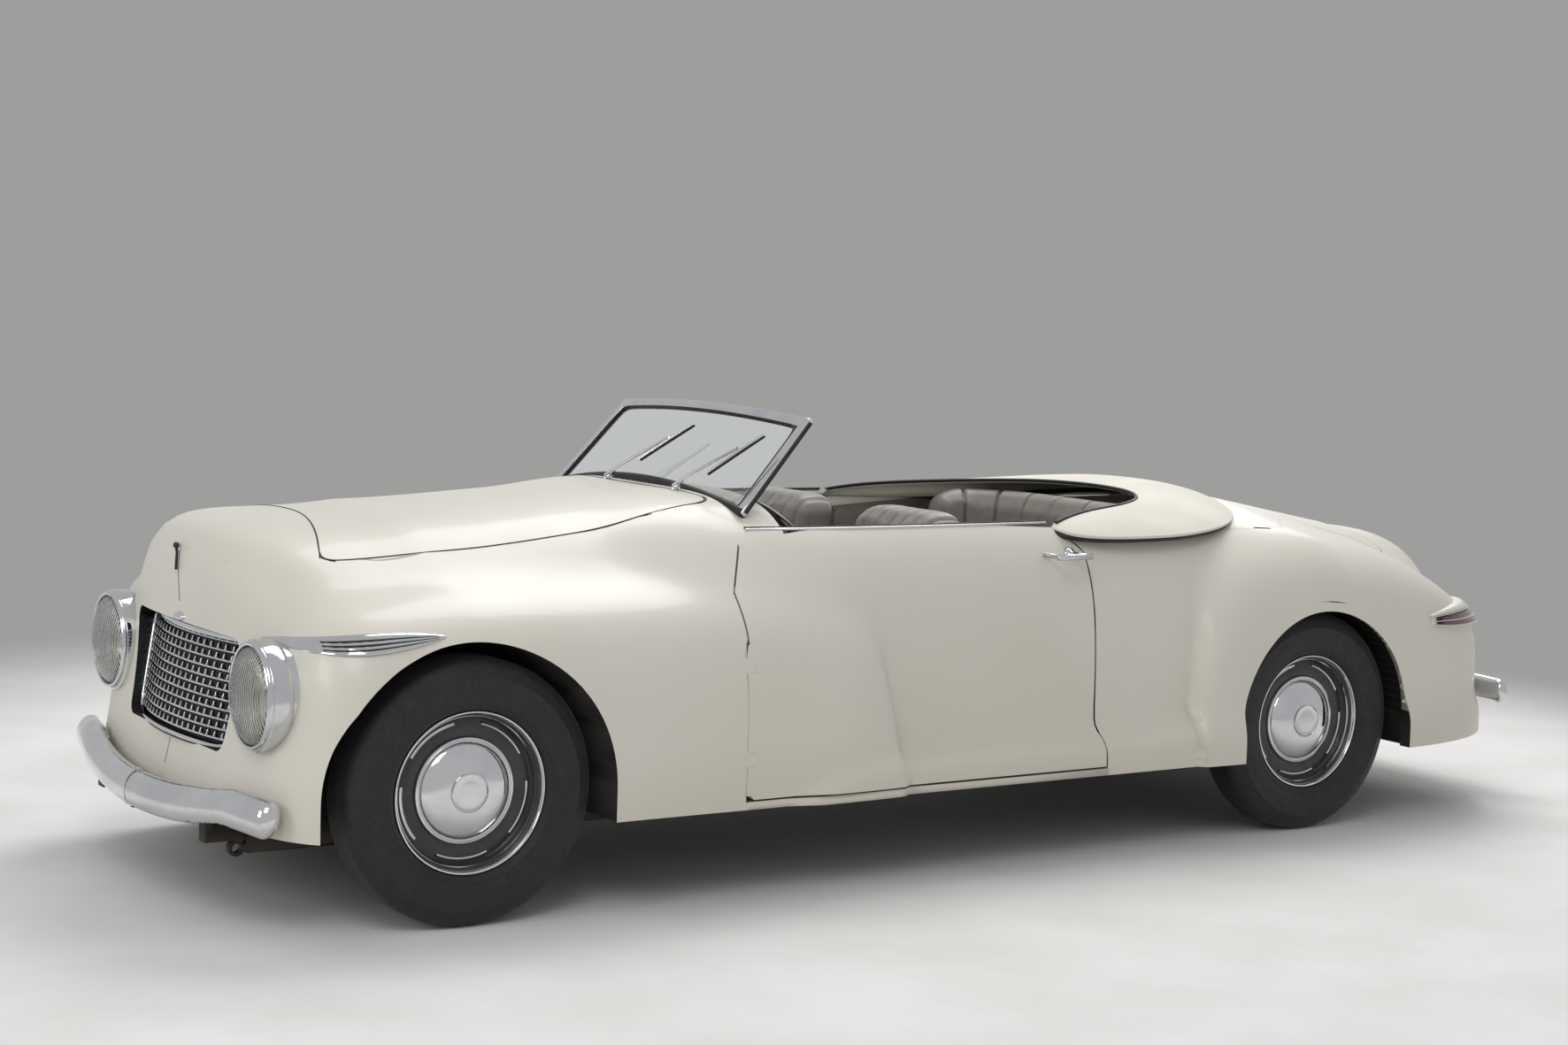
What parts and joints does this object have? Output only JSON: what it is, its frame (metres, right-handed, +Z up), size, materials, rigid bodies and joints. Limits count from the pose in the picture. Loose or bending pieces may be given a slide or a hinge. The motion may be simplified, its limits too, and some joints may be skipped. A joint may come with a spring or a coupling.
{
  "type": "roadster convertible",
  "caption": "Open four-seat roadster of the late 1940s with a low bowed windscreen, sweeping wings and its hood folded under a cover",
  "frame": {"origin": "on the ground under the middle of the car's length and width", "axes": "+X to the nose, +Y to the car's left, +Z up"},
  "size_m": [4.8307, 1.769, 1.3486],
  "materials": {
    "cream_paint": "semi_gloss",
    "black_paint": "satin",
    "bright_chrome": "polished",
    "lamp_glass": "clear",
    "red_lens": "clear",
    "tyre_rubber": "matte",
    "seat_leather": "satin",
    "hood_cloth": "matte",
    "cast_metal": "matte",
    "black_plastic": "gloss"
  },
  "bodies": {
    "car_body": {"chassis_frame": "black_paint", "dashboard": "cream_paint", "drive_shaft": "cast_metal", "engine": "cast_metal", "exhaust": "black_paint", "floor_pan": "black_paint", "front_body": "cream_paint", "front_bumper": "bright_chrome", "front_seat_left": "seat_leather", "front_seat_right": "seat_leather", "front_suspension_left": "cast_metal", "front_suspension_right": "cast_metal", "fuel_tank": "black_paint", "grille": "bright_chrome", "headlamp_left": "lamp_glass", "headlamp_right": "lamp_glass", "hood_cover": "hood_cloth", "radiator": "black_paint", "rear_axle": "cast_metal", "rear_body": "cream_paint", "rear_bumper": "bright_chrome", "rear_seat": "seat_leather", "steering_column": "black_paint", "tail_lamp_left": "red_lens", "tail_lamp_right": "red_lens", "windscreen_frame": "bright_chrome", "windscreen_glass": "lamp_glass", "wing_blade_left": "bright_chrome", "wing_blade_right": "bright_chrome", "wiper_left": "bright_chrome", "wiper_right": "bright_chrome"},
    "road_wheel_front_left": {"wheel_front_left": "bright_chrome", "tyre_front_left": "tyre_rubber"},
    "road_wheel_front_right": {"wheel_front_right": "bright_chrome", "tyre_front_right": "tyre_rubber"},
    "road_wheel_rear_left": {"wheel_rear_left": "bright_chrome", "tyre_rear_left": "tyre_rubber"},
    "road_wheel_rear_right": {"wheel_rear_right": "bright_chrome", "tyre_rear_right": "tyre_rubber"},
    "steered_left": {"knuckle_left": "cast_metal"},
    "steered_right": {"knuckle_right": "cast_metal"},
    "door_left_body": {"door_left": "cream_paint", "door_handle_left": "bright_chrome"},
    "door_right_body": {"door_right": "cream_paint", "door_handle_right": "bright_chrome"},
    "bonnet": {"bonnet_lid": "cream_paint"},
    "boot": {"boot_lid": "cream_paint"},
    "steering": {"steering_wheel": "black_plastic"}
  },
  "joints": [
    {"name": "steer_left", "type": "hinge", "parent": "car_body", "child": "steered_left", "pos_m": [1.75, 0.62, 0.356], "axis": [0, 0, 1], "range_deg": [-24, 24]},
    {"name": "steer_right", "type": "hinge", "parent": "car_body", "child": "steered_right", "pos_m": [1.75, -0.62, 0.356], "axis": [0, 0, 1], "range_deg": [-24, 24]},
    {"name": "roll_front_left", "type": "hinge", "parent": "steered_left", "child": "road_wheel_front_left", "pos_m": [1.75, 0.71, 0.356], "axis": [0, 1, 0], "continuous": true},
    {"name": "roll_front_right", "type": "hinge", "parent": "steered_right", "child": "road_wheel_front_right", "pos_m": [1.75, -0.71, 0.356], "axis": [0, 1, 0], "continuous": true},
    {"name": "roll_rear_left", "type": "hinge", "parent": "car_body", "child": "road_wheel_rear_left", "pos_m": [-1.25, 0.71, 0.356], "axis": [0, 1, 0], "continuous": true},
    {"name": "roll_rear_right", "type": "hinge", "parent": "car_body", "child": "road_wheel_rear_right", "pos_m": [-1.25, -0.71, 0.356], "axis": [0, 1, 0], "continuous": true},
    {"name": "turn_steering", "type": "hinge", "parent": "car_body", "child": "steering", "pos_m": [0.56, 0.35, 0.9], "axis": [-0.8, 0, 0.6], "range_deg": [-400, 400]},
    {"name": "door_left_hinge", "type": "hinge", "parent": "car_body", "child": "door_left_body", "pos_m": [0.94, 0.839, 0.53], "axis": [0, 0, -1], "range_deg": [0, 65]},
    {"name": "door_right_hinge", "type": "hinge", "parent": "car_body", "child": "door_right_body", "pos_m": [0.94, -0.839, 0.53], "axis": [0, 0, 1], "range_deg": [0, 65]},
    {"name": "bonnet_hinge", "type": "hinge", "parent": "car_body", "child": "bonnet", "pos_m": [0.845, 0, 1.105], "axis": [0, -1, 0], "range_deg": [0, 50]},
    {"name": "boot_hinge", "type": "hinge", "parent": "car_body", "child": "boot", "pos_m": [-1.54, 0, 1.004], "axis": [0, 1, 0], "range_deg": [0, 60]}
  ],
  "couplings": [
    {"joint": "steer_left", "follows": "turn_steering", "ratio": 0.06},
    {"joint": "steer_right", "follows": "turn_steering", "ratio": 0.06}
  ]
}
